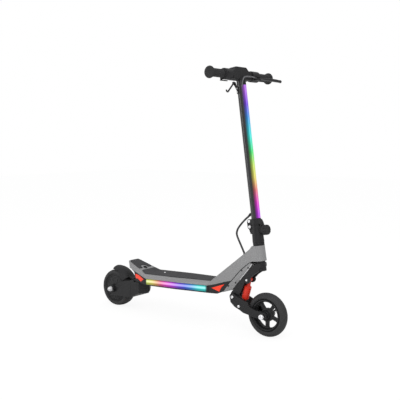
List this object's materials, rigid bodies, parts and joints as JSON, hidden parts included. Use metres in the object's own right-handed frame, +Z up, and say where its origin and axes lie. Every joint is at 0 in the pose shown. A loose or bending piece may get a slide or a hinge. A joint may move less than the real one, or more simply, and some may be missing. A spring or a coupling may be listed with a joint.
{
  "type": "folding electric scooter",
  "caption": "Folding two-wheeled electric kick scooter with lit stem and deck sides, sprung front wheel, rear hub motor, folding hook and handlebar controls.",
  "frame": {"origin": "on the ground, below the middle of the scooter's bounding box", "axes": "+X forward, +Y to the rider's left, +Z up"},
  "size_m": [0.939, 0.384, 0.9957],
  "materials": {
    "frame_grey": "satin grey metallic paint",
    "black_paint": "satin black paint",
    "black_plastic": "fine-grained black",
    "grip_rubber": "ribbed, dull",
    "tyre": "dull black",
    "light_lens": "frosted diffuser over colour lights",
    "red_lens": "prismatic red-orange",
    "battery_wrap": "heat-shrink wrap",
    "controller_case": "anodised",
    "dark_steel": "black coated steel",
    "bright_steel": "zinc plated",
    "copper": "laminated core with copper windings",
    "cable_sheath": "smooth black sheath",
    "red_paint": "gloss red",
    "screen": "gloss black window",
    "button_rubber": "soft"
  },
  "bodies": {
    "frame": {"frame_shell": "frame_grey", "neck_cover": "frame_grey", "belly_plate": "black_plastic", "deck_mat": "grip_rubber", "tail_mat": "grip_rubber", "side_rail_right": "black_plastic", "side_rail_left": "black_plastic", "light_bar_right": "light_lens", "light_bar_left": "light_lens", "reflector_front_right": "red_lens", "reflector_front_left": "red_lens", "reflector_rear_right": "red_lens", "reflector_rear_left": "red_lens", "battery_pack": "battery_wrap", "motor_controller": "controller_case", "charge_port": "black_plastic", "neck_screw_upper": "dark_steel", "neck_screw_lower": "dark_steel", "headset_cup": "black_paint", "rear_fork": "black_paint", "fender": "black_plastic", "rear_axle": "bright_steel", "rear_axle_nut_right": "bright_steel", "rear_axle_nut_left": "bright_steel", "motor_stator": "copper"},
    "rear_wheel": {"motor_hub": "black_paint", "rear_tyre": "tyre"},
    "steerer": {"fork": "black_paint", "fold_base": "black_paint", "fold_pin": "bright_steel", "arm_pivot_bolt": "bright_steel", "shock_top_bolt": "bright_steel", "main_cable": "cable_sheath"},
    "knob": {"fold_knob": "black_plastic"},
    "arm": {"swing_arm": "black_paint", "shock_foot_bolt": "bright_steel", "front_axle": "bright_steel", "front_axle_nut": "bright_steel"},
    "front_wheel": {"front_rim": "black_paint", "front_tyre": "tyre", "front_bearings": "bright_steel"},
    "shock_body": {"shock_barrel": "red_paint", "shock_spring": "bright_steel"},
    "shock_slider": {"shock_rod": "red_paint"},
    "stem": {"stem_tube": "black_paint", "stem_light": "light_lens", "fold_collar": "black_paint", "hinge_bolt": "bright_steel", "handlebar": "dark_steel", "grip_right": "grip_rubber", "grip_left": "grip_rubber", "head_housing": "black_plastic", "display_screen": "screen", "brake_perch": "black_plastic", "throttle_body": "black_plastic", "hook_bracket": "black_paint"},
    "brake": {"brake_lever": "dark_steel"},
    "throttle": {"throttle_paddle": "black_plastic"},
    "button": {"power_button": "button_rubber"},
    "hook": {"fold_hook": "dark_steel"}
  },
  "joints": [
    {"name": "rear_wheel_spin", "type": "hinge", "parent": "frame", "child": "rear_wheel", "pos_m": [-0.3895, 0, 0.08], "axis": [0, 1, 0], "continuous": true},
    {"name": "steer", "type": "hinge", "parent": "frame", "child": "steerer", "pos_m": [0.393, 0, 0], "axis": [-0.1392, 0, 0.9903], "range_deg": [-45, 45], "deforming": ["main_cable"]},
    {"name": "stem_fold", "type": "hinge", "parent": "steerer", "child": "stem", "pos_m": [0.31225, 0, 0.40571], "axis": [0, -1, 0], "range_deg": [0, 102], "deforming": ["main_cable"]},
    {"name": "knob_turn", "type": "hinge", "parent": "steerer", "child": "knob", "pos_m": [0.33768, 0, 0.39363], "axis": [0.9903, 0, 0.1392], "range_deg": [0, 720]},
    {"name": "arm_swing", "type": "hinge", "parent": "steerer", "child": "arm", "pos_m": [0.2473, 0, 0.1346], "axis": [0, -1, 0], "range_deg": [0, 8], "stiffness_Nm_per_rad": 150, "springref_deg": -5.73},
    {"name": "front_wheel_spin", "type": "hinge", "parent": "arm", "child": "front_wheel", "pos_m": [0.387, 0, 0.0825], "axis": [0, 1, 0], "continuous": true},
    {"name": "shock_tilt", "type": "hinge", "parent": "steerer", "child": "shock_body", "pos_m": [0.306, 0, 0.205], "axis": [0, -1, 0], "range_deg": [-0.5, 2.5]},
    {"name": "shock_slide", "type": "slide", "parent": "shock_body", "child": "shock_slider", "axis": [0.2652, 0, 0.9642], "range_m": [-0.0005, 0.006], "deforming": ["shock_spring"]},
    {"name": "brake_pull", "type": "hinge", "parent": "stem", "child": "brake", "pos_m": [0.27961, 0.08, 0.95754], "axis": [-0.1384, 0.1045, 0.9848], "range_deg": [0, 15], "stiffness_Nm_per_rad": 0.4, "springref_deg": -5.73},
    {"name": "throttle_press", "type": "hinge", "parent": "stem", "child": "throttle", "pos_m": [0.25738, -0.11, 0.96502], "axis": [0, -1, 0], "range_deg": [0, 30], "stiffness_Nm_per_rad": 0.1, "springref_deg": -5.73},
    {"name": "button_press", "type": "slide", "parent": "stem", "child": "button", "axis": [-0.9744, 0, -0.225], "range_m": [0, 0.0015], "stiffness_N_per_m": 300, "springref_m": -0.0005},
    {"name": "hook_swing", "type": "hinge", "parent": "stem", "child": "hook", "pos_m": [0.2272, 0, 0.93906], "axis": [0, 1, 0], "range_deg": [0, 125]}
  ],
  "couplings": [
    {"joint": "shock_tilt", "follows": "arm_swing", "ratio": 0.1938},
    {"joint": "shock_slide", "follows": "arm_swing", "m_per_rad": 0.03903}
  ]
}
